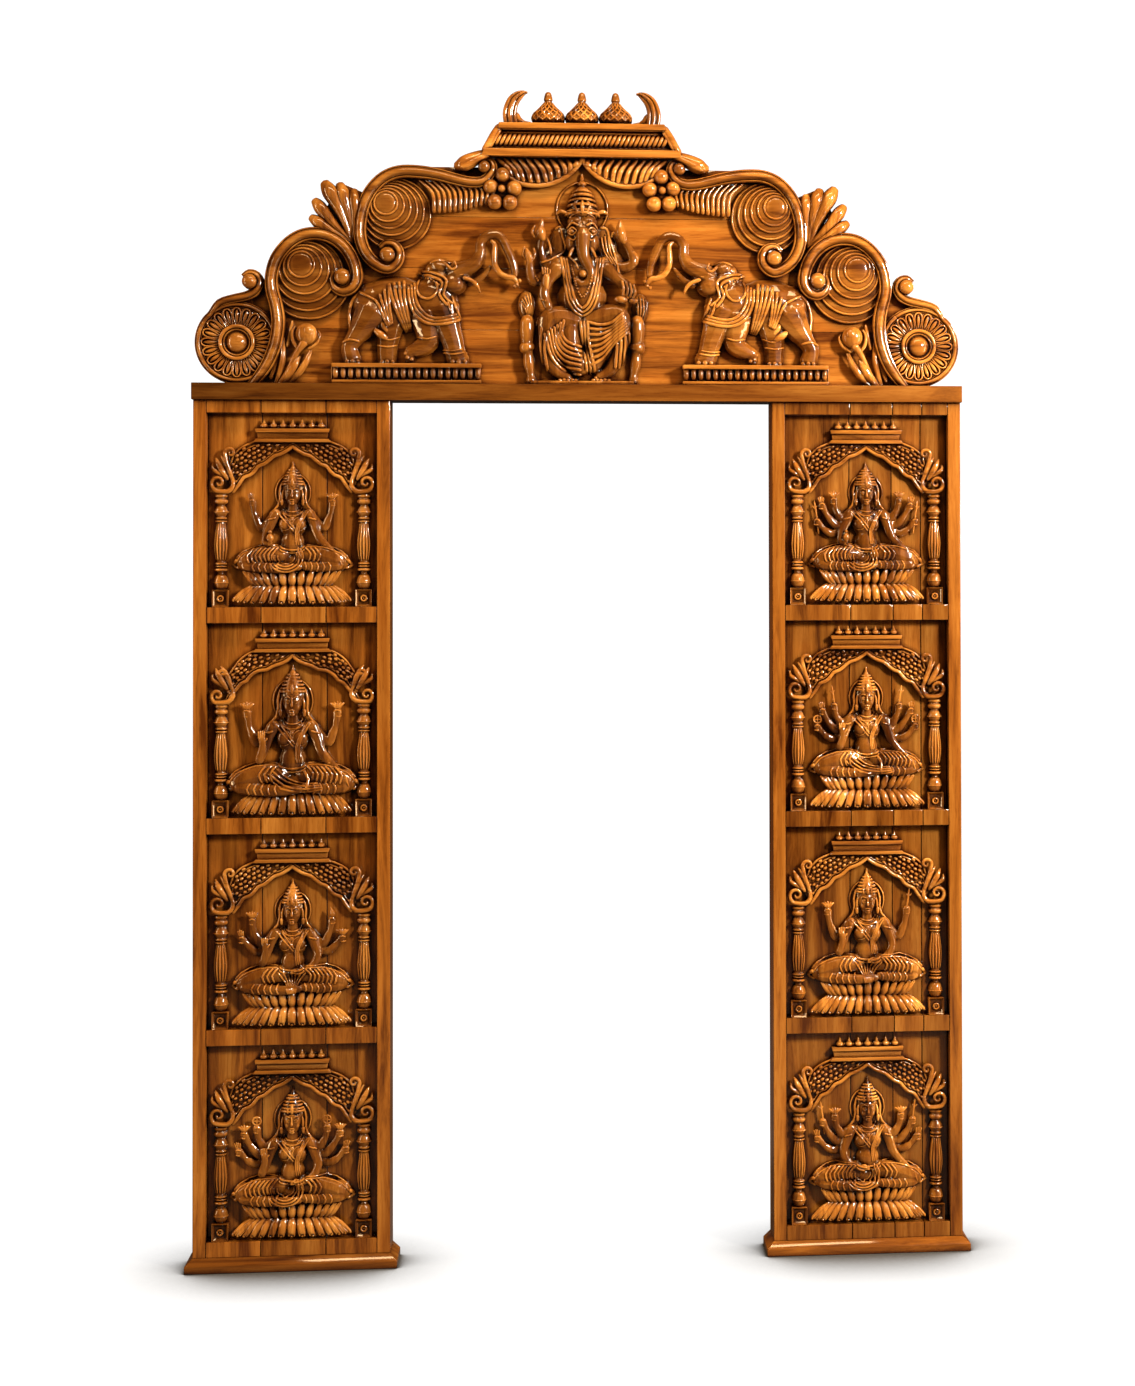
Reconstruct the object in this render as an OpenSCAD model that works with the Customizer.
// Carved temple door surround: two columns of carved niches on plinths, a lintel across the
// doorway, and a crest of scrolls, two elephants and a seated elephant-headed figure.
// +X runs to the viewer's right, the front faces -Y, and the origin is at floor level, half way
// across the width and half way through the depth.

/* [Doorway] */
// Clear width between the two columns
opening_w = 900; // [760:5:1100]
// Clear height from the top of a plinth to the underside of the lintel
column_h = 1990; // [1700:5:2400]

/* [Columns] */
// Width of one column across its front
column_w = 453; // [370:1:560]
// Depth of a column from its front to the wall
column_d = 96; // [80:1:130]
// Width of each upright edge board of a column
stile_w = 30; // [22:1:40]
// Thickness of the carved slab between the edge boards
slab_t = 66; // [55:1:80]
// Depth of a niche below the front of its column
niche_d = 28; // [22:1:34]
// Height of the plain band above the top niche
top_rail_h = 30; // [20:1:45]
// Height of the plain band between two niches
mid_rail_h = 37; // [25:1:50]
// Height of the plain band under the bottom niche
bottom_rail_h = 35; // [25:1:50]

/* [Plinths] */
// Height of a plinth
plinth_h = 33; // [25:1:60]
// How far a plinth stands out in front of its column
plinth_front = 14; // [8:1:25]
// How far a plinth stands out on each side of its column
plinth_side = 17; // [8:1:25]
// Height of the upright face at the foot of a plinth
plinth_foot_h = 17; // [10:1:22]

/* [Lintel] */
// Height of the lintel board
lintel_h = 39; // [30:1:60]
// How far the lintel stands out in front of the columns
lintel_front = 12; // [5:1:20]
// How far the lintel runs past each column
lintel_end = 3; // [0:1:10]
// Diameter of the dowels between the lintel and the columns
dowel_d = 16; // [10:1:20]
// Length of each dowel
dowel_l = 60; // [40:1:70]
// Play round a dowel and at its ends
dowel_play = 0.2; // [0.1:0.1:0.5]

/* [Crest] */
// Thickness of the planks behind the crest
plank_t = 36; // [25:1:45]
// How far the planks stand behind the front of the columns
plank_set = 40; // [36:1:44]
// Width of the two upright battens behind the planks
batten_w = 70; // [40:1:100]
// Distance of each batten from the middle of the crest
batten_x = 330; // [260:5:370]
// How far the scroll bands stand out from the planks
band_relief = 44; // [25:1:48]
// How far the ringed discs inside the scrolls stand out
disc_relief = 30; // [15:1:38]
// How far the leaves, swags and berries stand out
leaf_relief = 36; // [15:1:44]
// How far the elephants stand out from the planks
elephant_relief = 46; // [25:1:50]
// How far the middle figure stands out from the planks
idol_relief = 50; // [30:1:52]

/* [Niche carvings] */
// How far a seated figure stands out from the niche floor
figure_relief = 36; // [20:1:38]
// How far an arch stands out from the niche floor
arch_relief = 26; // [15:1:30]
// Gap between carvings that stand side by side
carving_gap = 0.3; // [0.2:0.1:1]
// Gap between a lotus seat and the niche sill
seat_gap = 7; // [3:1:12]
// Gap between a pillar's cap and the arch on it
pillar_gap = 0.5; // [0.2:0.1:1]

/* [Hidden] */
$fn = 48;
back_y = (column_d + plinth_front) / 2;
column_y = back_y - column_d;
niche_y = column_y + niche_d;
plank_y = column_y + plank_set;
outer_w = opening_w + 2 * column_w;
column_x = (opening_w + column_w) / 2;
slab_w = column_w - 2 * stile_w;
column_top = plinth_h + column_h;
lintel_w = outer_w + 2 * lintel_end;
lintel_top = column_top + lintel_h;
rows = 4;
niche_h = (column_h - top_rail_h - bottom_rail_h - (rows - 1) * mid_rail_h) / rows;
wood = "peru";
dark_wood = "sienna";
light_wood = "burlywood";

// The crest's outlines are drawn for a doorway 1806 across the columns and grow with it
crest_k = outer_w / 1806;
// A niche's carvings are drawn for a niche 393 wide and 453.5 high and shrink to fit it
niche_k = min(slab_w / 393, niche_h / 453.5);

// Where the glued staves of each slab meet, as shares of the slab's width
left_joints = [0, 0.32, 0.70, 1];
right_joints = [0, 0.40, 0.66, 0.84, 1];
// Height above the lintel at which one crest plank ends and the next begins
plank_z = [0, 132, 278, 400, 540];

// Each figure, from the top niche down: [pairs of arms, height from seat to crown tip]
left_figures = [[2, 335], [2, 350], [3, 340], [4, 347]];
right_figures = [[4, 335], [4, 335], [2, 345], [4, 340]];

// ---- shared shapes ----

// Points of an arc round c
function arc(c, r, from, to, n = 16) =
    [for (i = [0:n]) let (a = from + (to - from) * i / n) c + r * [cos(a), sin(a)]];

// Points of a spiral round c whose radius goes from r0 to r1
function spiral(c, r0, r1, from, to, n = 20) =
    [for (i = [0:n]) let (a = from + (to - from) * i / n, r = r0 + (r1 - r0) * i / n)
        c + r * [cos(a), sin(a)]];

function across(p, i) =
    let (d = p[min(i + 1, len(p) - 1)] - p[max(i - 1, 0)]) [-d[1], d[0]] / norm(d);

// The outline of a band of width w0 to w1 along the path p
function band(p, w0, w1) =
    let (n = len(p) - 1)
    concat([for (i = [0:n]) p[i] + across(p, i) * (w0 + (w1 - w0) * i / n) / 2],
           [for (i = [n:-1:0]) p[i] - across(p, i) * (w0 + (w1 - w0) * i / n) / 2]);

// An oval, or the part of one between two angles
function oval(c, rx, rz, from = 0, to = 350, n = 35) =
    [for (i = [0:n]) let (a = from + (to - from) * i / n) c + [rx * cos(a), rz * sin(a)]];

// A joint is a little wider than the limb through it
joint_swell = 1.05;

// A flat bent limb: straight pieces from w0 to w1 wide with round joints
module limb(p, w0, w1) {
    n = len(p) - 1;
    for (i = [0:n - 1]) {
        a = w0 + (w1 - w0) * i / n;
        b = w0 + (w1 - w0) * (i + 1) / n;
        polygon(band([p[i], p[i + 1]], a, b));
        translate(p[i + 1]) circle(d = b * joint_swell);
    }
}

// Stands a flat outline up on the plane at y and carries it d towards the front
module raise(y, d) {
    translate([0, y, 0]) rotate([90, 0, 0]) linear_extrude(d) children();
}

// A box between two depths
module board(x0, x1, front, back, z0, z1) {
    translate([x0, front, z0]) cube([x1 - x0, back - front, z1 - z0]);
}

// Puts a carving that is drawn for the right half on either half
module on_side(s) {
    if (s < 0) mirror([1, 0, 0]) children();
    else children();
}

// A flat outline drawn from the middle of the lintel's top, at the crest's size
module crest_shape(points) {
    translate([0, lintel_top]) polygon([for (p = points) p * crest_k]);
}

module crest_limb(p, w0, w1) {
    translate([0, lintel_top]) limb([for (q = p) q * crest_k], w0 * crest_k, w1 * crest_k);
}

module crest_disc(c, r) {
    translate([c[0] * crest_k, lintel_top + c[1] * crest_k]) circle(r = r * crest_k);
}

// ---- columns ----

// A square foot with a shoulder that slopes up to the column on the front and both sides
module plinth(s) {
    half = column_w / 2 + plinth_side;
    front = column_y - plinth_front;
    color(wood) translate([s * column_x, 0, 0]) intersection() {
        raise(back_y, back_y - front)
            polygon([[-half, 0], [-half, plinth_foot_h], [-column_w / 2, plinth_h],
                [column_w / 2, plinth_h], [half, plinth_foot_h], [half, 0]]);
        translate([-half, 0, 0]) rotate([90, 0, 90]) linear_extrude(2 * half)
            polygon([[front, 0], [front, plinth_foot_h], [column_y, plinth_h],
                [back_y, plinth_h], [back_y, 0]]);
    }
}

// inner is true for the edge board beside the doorway
module stile(s, inner) {
    x = inner ? opening_w / 2 : outer_w / 2 - stile_w;
    color(wood) on_side(s) difference() {
        board(x, x + stile_w, column_y, back_y, plinth_h, column_top);
        translate([x + stile_w / 2, 0, column_top - dowel_l / 2])
            cylinder(d = dowel_d + dowel_play, h = dowel_l);
    }
}

// One upright stave of a slab, with its share of the four niches cut into its front
module stave(s, joints, i) {
    x0 = s * column_x - slab_w / 2;
    color(light_wood) difference() {
        board(x0 + joints[i] * slab_w, x0 + joints[i + 1] * slab_w,
            column_y, column_y + slab_t, plinth_h, column_top);
        for (row = [0:rows - 1])
            board(x0 - 1, x0 + slab_w + 1, column_y - 1, niche_y, sill_z(row), sill_z(row) + niche_h);
    }
}

// Height of the sill of a niche, counted from the top
function sill_z(row) =
    column_top - top_rail_h - niche_h - row * (niche_h + mid_rail_h);

module lintel() {
    color(wood) difference() {
        board(-lintel_w / 2, lintel_w / 2, column_y - lintel_front, back_y, column_top, lintel_top);
        for (x = dowel_xs)
            translate([x, 0, column_top - 1]) cylinder(d = dowel_d + dowel_play, h = dowel_l / 2 + 1);
    }
}

dowel_xs = [for (s = [-1, 1], x = [opening_w / 2 + stile_w / 2, outer_w / 2 - stile_w / 2]) s * x];

module lintel_dowels() {
    color(light_wood) for (x = dowel_xs)
        translate([x, 0, column_top - dowel_l / 2 + dowel_play])
            cylinder(d = dowel_d, h = dowel_l - 2 * dowel_play);
}

// ---- crest ----

// The outline of the planks, kept inside the scrolls' outer edges
module plank_outline() {
    for (s = [-1, 1]) on_side(s) {
        crest_shape([[-1, 0], [820, 0], [806, 181], [760, 222], [722, 262], [560, 352],
            [521, 420], [420, 486], [262, 480], [205, 540], [-1, 540]]);
        crest_disc(rosette_c, rosette_r - 12);
        crest_disc(lower_c, lower_r);
        crest_disc(upper_c, upper_r);
        crest_shape([[535, 330], [600, 420], [570, 478], [480, 440]]);
    }
}

// A whole number, so that two planks meet without a sliver between them
function plank_joint(i) = lintel_top + round(plank_z[i] * crest_k);

module crest_board(i) {
    color(wood) intersection() {
        raise(plank_y + plank_t, plank_t) plank_outline();
        board(-outer_w, outer_w, plank_y - 1, back_y + 1, plank_joint(i), plank_joint(i + 1));
    }
}

module crest_battens() {
    color(light_wood) for (s = [-1, 1])
        board(s * batten_x * crest_k - batten_w / 2, s * batten_x * crest_k + batten_w / 2,
            plank_y + plank_t, back_y, lintel_top, plank_joint(3));
}

// The places and sizes of the round parts of the right half
rosette_c = [806, 97];
rosette_r = 97;
petal_r = 79;
lower_c = [628, 255];
lower_r = 98;
lower_disc_c = [640, 258];
lower_curl = [560, 264];
upper_c = [421, 400];
upper_r = 100;
upper_disc_c = [443, 410];
upper_curl = [469, 308];
berry_c = [190, 465];
band_w = 30;

// The ring round the flower, which runs over the top into a small curl
module rosette(s) {
    ring = band_w * 0.6;
    mid = rosette_r - ring / 2;
    curl_c = [777, 240];
    path = concat(arc(rosette_c, mid, -125, 88, 30),
        [[797, 194], [776, 205], [760, 219]], spiral(curl_c, 22, 14, 180, -60, 12));
    color(dark_wood) on_side(s) union() {
        raise(plank_y, band_relief) crest_shape(band(path, ring * 0.8, ring * 1.15));
        raise(plank_y, band_relief) crest_disc(curl_c, 12);
        raise(plank_y, leaf_relief / 3) crest_disc(rosette_c, mid);
        raise(plank_y, leaf_relief * 2 / 3) for (i = [0:19])
            crest_disc(rosette_c + (petal_r - 12) * [cos(18 * i), sin(18 * i)], 11);
        raise(plank_y, leaf_relief) crest_disc(rosette_c, 40);
        raise(plank_y, band_relief) crest_disc(rosette_c, 26);
    }
}

// A broad band that rises beside the flower, arches over a ringed disc and curls in on itself
module lower_scroll(s) {
    clear = rosette_r + band_w / 2 + 1;
    path = concat(arc(rosette_c, clear, 238, 164, 14), [[716, 190]],
        arc(lower_c, lower_r, -8, 172, 26), spiral(lower_curl, 30, 24, 186, 330, 12));
    color(dark_wood) on_side(s) difference() {
        union() {
            raise(plank_y, band_relief) crest_shape(band(path, band_w * 0.7, band_w));
            raise(plank_y, band_relief) crest_disc(lower_curl, 17);
            rings(lower_disc_c, lower_r + 8);
        }
        raise(plank_y + 1, band_relief + 2) crest_disc(rosette_c, rosette_r + carving_gap);
        raise(plank_y + 1, band_relief + 2) translate([0, lintel_top - 50]) square([outer_w, 50]);
    }
}

// A stepped disc whose rings crowd towards the hub
module rings(c, r) {
    steps = 5;
    for (i = [0:steps - 1])
        raise(plank_y, disc_relief * (0.55 + 0.45 * i / steps))
            crest_disc(c + (r - r * (1 - i / 6)) * [0.25, 0.55], r * (1 - i / 6));
}

// The upper band arches over its own disc, dips and ends in a curl under the crown
module upper_scroll(s) {
    end_curl = [231, 515];
    path = concat(spiral(upper_curl, 26, 38, -210, 0, 16), [[513, 330], [521, 365]],
        arc(upper_c, upper_r, 0, 95, 18), [[341, 496], [295, 486], [262, 480]],
        arc([241, 509], 29, 278, 190, 8), arc([226, 512], 15, 160, 90, 4));
    color(dark_wood) on_side(s) difference() {
        union() {
            raise(plank_y, band_relief) crest_shape(band(path, band_w * 0.8, band_w * 0.9));
            raise(plank_y, band_relief) crest_disc(upper_curl, 18);
            raise(plank_y, band_relief) crest_disc(end_curl, 12);
            rings(upper_disc_c, upper_r - 10);
            raise(plank_y, leaf_relief * 0.8)
                crest_shape([[395, 490], [262, 470], [232, 486], [226, 470], [228, 432],
                    [254, 415], [346, 415], [380, 425]]);
        }
        raise(plank_y + 1, band_relief + 2) {
            crest_disc(lower_c, lower_r + band_w / 2 + carving_gap);
            crest_shape([[200, 539.5], [300, 539.5], [300, 620], [200, 620]]);
            berry_shape(carving_gap);
        }
    }
}

// Five lobes that spread from the notch between the two scrolls
module fan_leaf(s) {
    root = [545, 345];
    tips = [[599, 458], [570, 453], [541, 446], [612, 423], [616, 392]];
    color(dark_wood) on_side(s) difference() {
        union() {
            raise(plank_y, leaf_relief * 0.9) for (tip = tips) crest_limb([root, tip], 10, 23);
            raise(plank_y, leaf_relief * 0.5)
                crest_shape([root, [614, 396], [608, 436], [572, 464], [540, 440]]);
        }
        raise(plank_y + 1, band_relief + 2) crest_disc(lower_c, lower_r + band_w / 2 + carving_gap);
        raise(plank_y + 1, band_relief + 2) {
            crest_disc(upper_c, upper_r + band_w / 2 + carving_gap);
            crest_disc(upper_curl, 53);
        }
    }
}

// Two curved leaves and a stem that carries a round bud
module bud_spray(s) {
    bud = [646, 113];
    blades = [[[706, 2], [672, 52], [655, 100]], [[690, 2], [652, 45], [634, 82]],
        [[706, 4], [672, 60], [677, 100], [680, 140]]];
    color(dark_wood) on_side(s) difference() {
        union() {
            raise(plank_y, leaf_relief) crest_disc(bud, 27);
            raise(plank_y, leaf_relief * 0.7) for (b = blades) crest_limb(b, 22, 13);
        }
        raise(plank_y + 1, band_relief + 2)
            crest_disc(rosette_c, rosette_r + 1.5 + band_w);
        raise(plank_y + 1, band_relief + 2) translate([0, lintel_top - 50]) square([outer_w, 50]);
    }
}

// Five round fruits about a small middle one
module berries(s) {
    color(dark_wood) on_side(s) union() {
        raise(plank_y, leaf_relief * 0.6) crest_disc(berry_c, 22);
        raise(plank_y, leaf_relief) berry_shape(0);
        raise(plank_y, leaf_relief) crest_disc(berry_c, 8);
    }
}

// The outline of the fruits with a margin round them
module berry_shape(margin) {
    for (a = [88, 166, 14, 240, 302])
        crest_disc(berry_c + 30 * [cos(a), sin(a)], 17 + margin);
    crest_disc(berry_c, 22 + margin);
}

// A ribbed swag with a rim that rises to the middle of the crest
module swag(s) {
    rim = [[161, 486], [140, 474], [112, 470], [86, 478], [62, 492], [36, 514], [8, 538]];
    color(dark_wood) on_side(s) difference() {
        union() {
            raise(plank_y, leaf_relief) crest_shape(band(rim, 18, 16));
            raise(plank_y, leaf_relief * 0.7)
                crest_shape(concat(rim, [[8, 539], [206, 539], [202, 520], [172, 502]]));
        }
        // Shared out with the other swag, the crown, the berries and the curl beside it
        board(-60, carving_gap / 2, plank_y - band_relief - 1, plank_y + 1, 0, lintel_top * 2);
        raise(plank_y + 1, band_relief + 2) {
            crest_disc([220, 515], 30);
            crest_shape([[-1, 539.5], [300, 539.5], [300, 620], [-1, 620]]);
            berry_shape(carving_gap);
        }
    }
}

// ---- crown ----

crown_top_z = 620;

// Two boards with a roped band sunk between them, flaring down to a lobe at each end
module crown_block() {
    back = plank_y + plank_t;
    color(wood) union() {
        raise(back, plank_t + 32) crest_shape([[-236, 540], [236, 540], [236, 558], [-236, 558]]);
        raise(back, plank_t + 22) crest_shape([[-226, 557], [226, 557], [200, 607], [-200, 607]]);
        raise(back, plank_t + 32)
            for (s = [-1, 1])
                crest_shape([[s * 226, 557], [s * 216, 557], [s * 186, 607], [s * 200, 607]]);
        raise(back, plank_t + 38)
            crest_shape([[-198, 606], [198, 606], [196, 620], [-196, 620]]);
        for (s = [-1, 1])
            raise(back, plank_t + 28) {
                crest_shape([[s * 228, 541], [s * 228, 553], [s * 276, 538], [s * 280, 510],
                    [s * 245, 534]]);
                crest_disc([s * 281, 521], 15);
            }
    }
}

// Three squat pots with pointed lids, turned in the round
module crown_finials() {
    z = crown_top_z;
    color(dark_wood) for (x = [-80, 0, 80])
        translate([x * crest_k, plank_y + plank_t - 37, lintel_top]) rotate_extrude($fn = 64)
            polygon([for (p = [[0, z], [27, z], [36, z + 8], [38, z + 18], [33, z + 28],
                [22, z + 36], [12, z + 43], [7, z + 50], [7, z + 54], [10, z + 60],
                [10, z + 66], [6, z + 76], [0, z + 80]]) p * crest_k]);
}

// A fluted crescent at each end of the crown, its point turned inwards
module crown_horns() {
    base = crown_top_z;
    color(dark_wood) for (s = [-1, 1]) on_side(s)
        raise(plank_y + plank_t / 2 + 8, 44)
            crest_shape([[184, base], [187, base + 30], [183, base + 55], [170, base + 72],
                [150, base + 81], [131, base + 79], [146, base + 70], [154, base + 56],
                [153, base + 36], [146, base + 18], [132, base + 6], [121, base]]);
}

// ---- elephants and the middle figure ----

// An elephant on a fluted base, walking towards the middle with its trunk round a garland
module elephant(s) {
    body = [[536, 190], [523, 223], [500, 247], [467, 260], [423, 265], [352, 265], [300, 222],
        [288, 153], [349, 125], [411, 125], [476, 101], [512, 108], [540, 140]];
    near_fore = [[352, 160], [290, 155], [285, 114], [278, 66], [262, 46], [325, 46], [324, 84]];
    lifted_fore = [[402, 150], [340, 150], [348, 99], [364, 66], [392, 48], [420, 48],
        [418, 99], [398, 106]];
    far_hind = [[476, 120], [411, 130], [428, 113], [438, 83], [434, 46], [474, 46]];
    near_hind = [[544, 160], [480, 120], [502, 96], [514, 78], [517, 46], [545, 46],
        [562, 66], [558, 95], [544, 112]];
    trunk = [[288, 268], [262, 276], [243, 296], [231, 322], [233, 344], [220, 356], [205, 352]];
    color(wood) on_side(s) union() {
        raise(plank_y, elephant_relief + 2) {
            crest_shape([[236, 0], [586, 0], [586, 8], [236, 8]]);
            crest_shape([[236, 33], [586, 33], [586, 48], [236, 48]]);
        }
        raise(plank_y, elephant_relief - 4) crest_shape([[240, 7], [582, 7], [582, 34], [240, 34]]);
        raise(plank_y, elephant_relief * 0.8) crest_shape(body);
        raise(plank_y, elephant_relief) crest_shape(near_fore);
        raise(plank_y, elephant_relief * 0.7) crest_shape(lifted_fore);
        raise(plank_y, elephant_relief * 0.5) crest_shape(far_hind);
        raise(plank_y, elephant_relief * 0.8) crest_shape(near_hind);
        raise(plank_y, elephant_relief * 0.3)
            crest_limb([[530, 200], [548, 165], [550, 112], [545, 80]], 9, 8);
        raise(plank_y, elephant_relief) {
            crest_disc([306, 248], 38);
            crest_disc([333, 275], 24);
        }
        raise(plank_y, elephant_relief * 0.8) {
            crest_limb(trunk, 46, 22);
            crest_limb([[286, 236], [262, 246], [228, 276]], 28, 14);
            crest_limb([[280, 236], [256, 236], [244, 222]], 14, 8);
        }
        raise(plank_y, elephant_relief * 0.7) {
            difference() {
                crest_shape(oval([186, 304], 27, 57));
                crest_shape(oval([186, 304], 14, 42));
            }
            crest_disc([172, 254], 12);
        }
    }
}

// A big-bellied figure with an elephant's head, seated on a low throne before a halo
module central_figure() {
    crown = [[-34, 400], [-31, 440], [-24, 462], [-16, 480], [-9, 494], [0, 507],
        [9, 494], [16, 480], [24, 462], [31, 440], [34, 400]];
    leg = [[60, 190], [100, 196], [118, 176], [112, 120], [100, 60], [84, 6], [46, 6], [40, 90]];
    color(wood) union() {
        raise(plank_y, idol_relief * 0.9) crest_shape([[-124, 0], [124, 0], [124, 9], [-124, 9]]);
        raise(plank_y, idol_relief * 0.5) crest_shape([[-140, 8], [140, 8], [140, 190], [-140, 190]]);
        raise(plank_y, idol_relief * 0.25) crest_disc([0, 418], 60);
        raise(plank_y, idol_relief * 0.8) crest_shape(crown);
        raise(plank_y, idol_relief * 0.9) {
            crest_disc([0, 372], 40);
            crest_shape([[-22, 372], [22, 372], [12, 280], [-12, 270]]);
        }
        raise(plank_y, idol_relief) crest_disc([0, 212], 62);
        raise(plank_y, idol_relief * 0.75)
            crest_shape([[-64, 215], [-72, 300], [-40, 336], [40, 336], [72, 300], [64, 215]]);
        for (s = [-1, 1]) on_side(s) {
            raise(plank_y, idol_relief * 0.98) crest_shape(leg);
            raise(plank_y, idol_relief * 0.7) crest_disc([131, 192], 26);
            raise(plank_y, idol_relief * 0.6)
                crest_limb([[52, 366], [74, 330], [90, 290]], 18, 22);
            raise(plank_y, idol_relief * 0.55)
                crest_limb([[62, 310], [112, 268], [124, 316], [102, 350], [94, 384]], 30, 20);
            raise(plank_y, idol_relief * 0.85)
                crest_limb([[60, 306], [88, 248], [106, 224]], 34, 28);
        }
    }
}

// ---- niches ----

// Height of the foot of an arch above the sill
arch_foot_z = 263;

// Moves a carving drawn from the middle of a niche's sill into its niche
module in_niche(s, row) {
    translate([s * column_x, 0, sill_z(row)]) children();
}

module niche_shape(points) {
    polygon([for (p = points) p * niche_k]);
}

module niche_limb(p, w0, w1) {
    limb([for (q = p) q * niche_k], w0 * niche_k, w1 * niche_k);
}

module niche_disc(c, r) {
    translate(c * niche_k) circle(r = r * niche_k);
}

// A crowned figure with crossed legs on two rows of lotus petals
module figure(s, row, form) {
    pairs = form[0];
    h = form[1];
    lift = seat_gap / niche_k;
    head_z = lift + h * 0.765;
    neck_z = head_z - 30;
    color(wood) in_niche(s, row) union() {
        raise(niche_y, figure_relief * 0.9) niche_shape([[-128, lift], [128, lift],
            [134, lift + 18], [104, lift + 44], [-104, lift + 44], [-134, lift + 18]]);
        raise(niche_y, figure_relief * 0.85) niche_shape([[-90, lift + 40], [90, lift + 40],
            [106, lift + 78], [-106, lift + 78]]);
        raise(niche_y, figure_relief * 0.95) niche_shape(oval([0, lift + 103], 136, 36));
        raise(niche_y, figure_relief) niche_shape([[-56, lift + 92], [-30, lift + 150],
            [-42, neck_z - 22], [-32, neck_z], [32, neck_z], [42, neck_z - 22],
            [30, lift + 150], [56, lift + 92]]);
        raise(niche_y, figure_relief * 0.95) niche_shape([[-12, neck_z - 6], [12, neck_z - 6],
            [12, head_z], [-12, head_z]]);
        raise(niche_y, figure_relief) niche_disc([0, head_z], 25);
        raise(niche_y, figure_relief * 0.5) niche_disc([0, head_z + 4], 44);
        raise(niche_y, figure_relief * 0.85)
            niche_shape([[-26, head_z + 10], [-20, head_z + 44], [0, lift + h],
                [20, head_z + 44], [26, head_z + 10]]);
        for (m = [-1, 1], i = [0:pairs - 1]) on_side(m) {
            raised = 66 - 100 * i / max(pairs - 1, 1);
            shoulder = [30, neck_z - 16];
            elbow = shoulder + 52 * [cos(raised - 50), sin(raised - 50)];
            hand = elbow + 50 * [cos(raised + 22), sin(raised + 22)];
            raise(niche_y, figure_relief * 0.7) {
                niche_limb([shoulder, elbow, hand], 20, 16);
            }
        }
    }
}

// A pierced-looking arch: a cornice with small pots on it, two slopes and two scroll ends
module arch(s, row) {
    rim = [[0, 378], [26, 357], [52, 342], [72, 334], [93, 310], [112, 302], [138, 268]];
    top = [[150, 290], [133, 356], [118, 372], [89, 386], [0, 386]];
    color(wood) in_niche(s, row) union() {
        raise(niche_y, arch_relief) {
            niche_shape([[-90, 385], [90, 385], [82, 401], [82, 417], [-82, 417], [-82, 401]]);
            for (i = [-3:3]) {
                niche_disc([i * 22, 422], 7);
                niche_shape([[i * 22 - 5, 424], [i * 22 + 5, 424], [i * 22, 437]]);
            }
        }
        for (m = [-1, 1]) on_side(m) {
            raise(niche_y, arch_relief * 0.8) niche_shape(concat(rim, top));
            raise(niche_y, arch_relief) {
                niche_shape(band(concat([[134, 274], [150, arch_foot_z + 6]],
                    spiral([168, arch_foot_z + 26], 20, 12, -90, 150, 12)), 10, 9));
                niche_shape(band(concat([[146, 268], [144, 310], [156, 340]],
                    spiral([142, 358], 13, 9, 10, 220, 8)), 10, 8));
                niche_limb([[150, 300], [168, 322], [182, 336]], 12, 8);
            }
        }
    }
}

// A turned pillar on a square block, one at each side of a niche
module pillars(s) {
    x = 165;
    half = 19;
    cap_z = arch_foot_z * niche_k - pillar_gap;
    turned = [[0, 40], [10, 40], [11, 48], [16, 54], [18, 64], [14, 74], [9, 80], [9, 86],
        [14, 88], [14, 92], [10, 94], [11, 104], [16, 126], [18, 146], [15, 170], [11, 200],
        [11, 208], [16, 214], [17, 222], [14, 232], [11, 236], [17, 244], [17, 252], [14, 256]];
    color(light_wood) for (row = [0:rows - 1], m = [-1, 1]) in_niche(s, row) on_side(m) {
        translate([x * niche_k, niche_y - half * niche_k, 0]) difference() {
            union() {
                rotate_extrude($fn = 32) polygon(concat([for (p = turned) p * niche_k],
                    [[14 * niche_k, cap_z], [0, cap_z]]));
                translate(-half * niche_k * [1, 1, 0])
                    cube([2 * half * niche_k, 2 * half * niche_k, 41 * niche_k]);
            }
            // The sunk square on the front of the block
            translate([-13 * niche_k, -half * niche_k - 1, 8 * niche_k])
                cube([26 * niche_k, 4, 26 * niche_k]);
        }
    }
}

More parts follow.
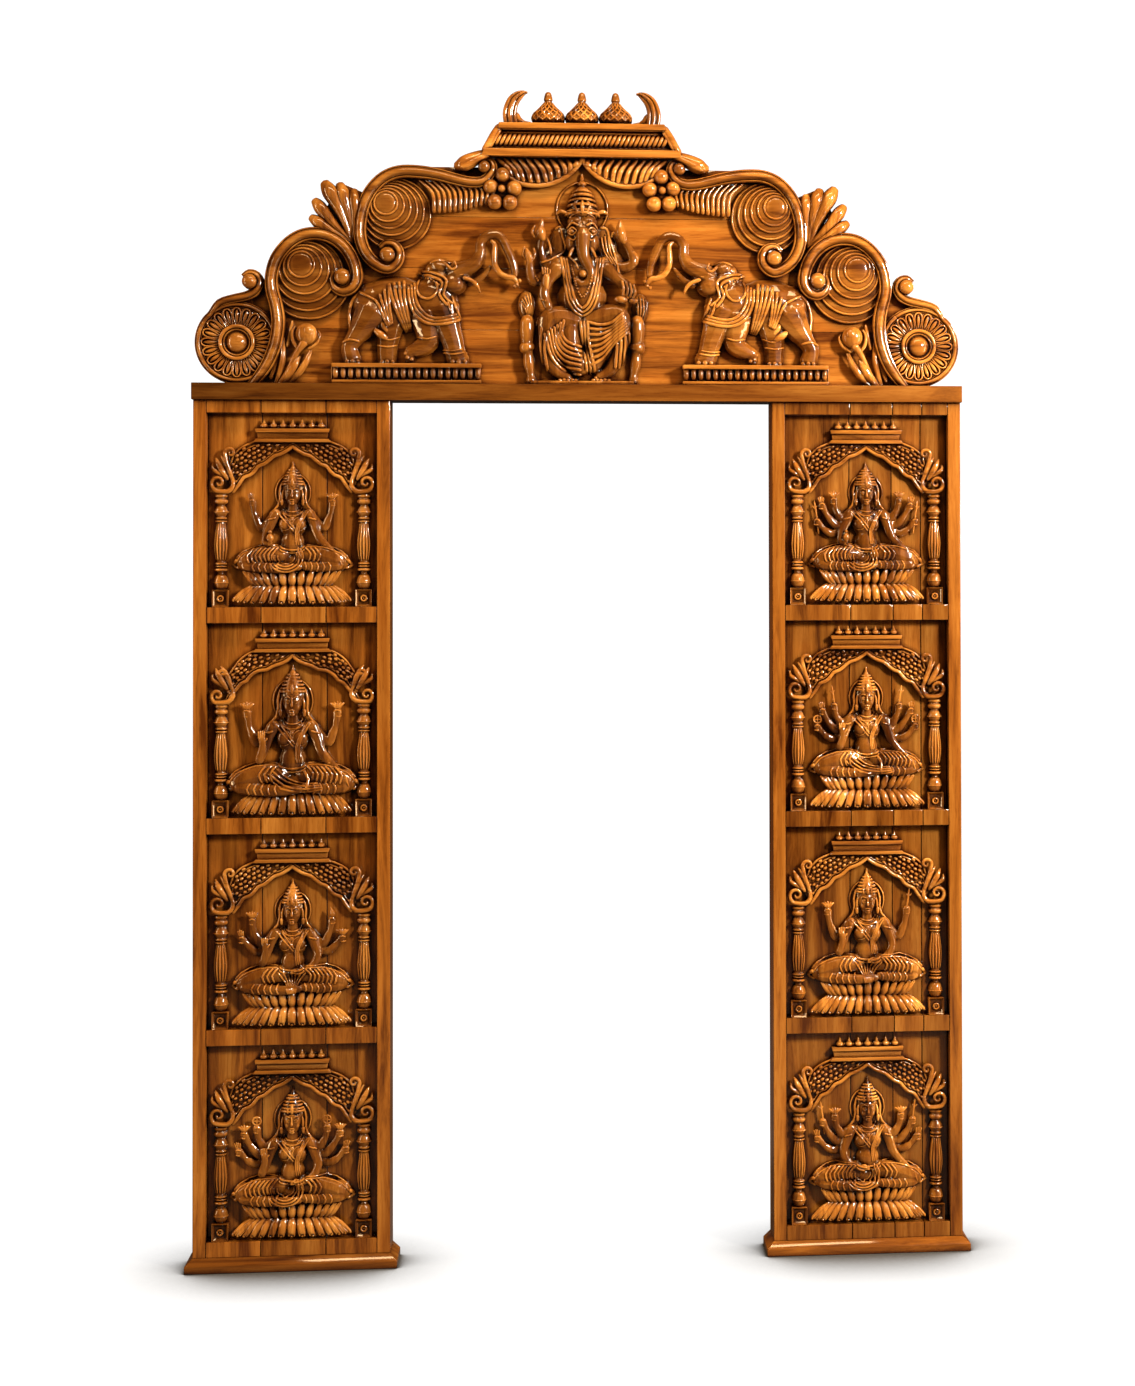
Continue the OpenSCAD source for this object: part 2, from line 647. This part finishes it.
plinth(-1);  // left_plinth
plinth(1);  // right_plinth
stile(-1, false);  // left_outer_stile
stile(-1, true);  // left_inner_stile
stile(1, true);  // right_inner_stile
stile(1, false);  // right_outer_stile
stave(-1, left_joints, 0);  // left_stave_1
stave(-1, left_joints, 1);  // left_stave_2
stave(-1, left_joints, 2);  // left_stave_3
stave(1, right_joints, 0);  // right_stave_1
stave(1, right_joints, 1);  // right_stave_2
stave(1, right_joints, 2);  // right_stave_3
stave(1, right_joints, 3);  // right_stave_4
lintel();
lintel_dowels();
crest_board(0);  // crest_board_1
crest_board(1);  // crest_board_2
crest_board(2);  // crest_board_3
crest_board(3);  // crest_board_4
crest_battens();
crown_block();
crown_finials();
crown_horns();
rosette(-1);  // left_rosette
rosette(1);  // right_rosette
lower_scroll(-1);  // left_lower_scroll
lower_scroll(1);  // right_lower_scroll
upper_scroll(-1);  // left_upper_scroll
upper_scroll(1);  // right_upper_scroll
fan_leaf(-1);  // left_fan_leaf
fan_leaf(1);  // right_fan_leaf
bud_spray(-1);  // left_bud_spray
bud_spray(1);  // right_bud_spray
berries(-1);  // left_berries
berries(1);  // right_berries
swag(-1);  // left_swag
swag(1);  // right_swag
elephant(-1);  // left_elephant
elephant(1);  // right_elephant
central_figure();
figure(-1, 0, left_figures[0]);  // left_figure_1
figure(-1, 1, left_figures[1]);  // left_figure_2
figure(-1, 2, left_figures[2]);  // left_figure_3
figure(-1, 3, left_figures[3]);  // left_figure_4
figure(1, 0, right_figures[0]);  // right_figure_1
figure(1, 1, right_figures[1]);  // right_figure_2
figure(1, 2, right_figures[2]);  // right_figure_3
figure(1, 3, right_figures[3]);  // right_figure_4
arch(-1, 0);  // left_arch_1
arch(-1, 1);  // left_arch_2
arch(-1, 2);  // left_arch_3
arch(-1, 3);  // left_arch_4
arch(1, 0);  // right_arch_1
arch(1, 1);  // right_arch_2
arch(1, 2);  // right_arch_3
arch(1, 3);  // right_arch_4
pillars(-1);  // left_pillars
pillars(1);  // right_pillars
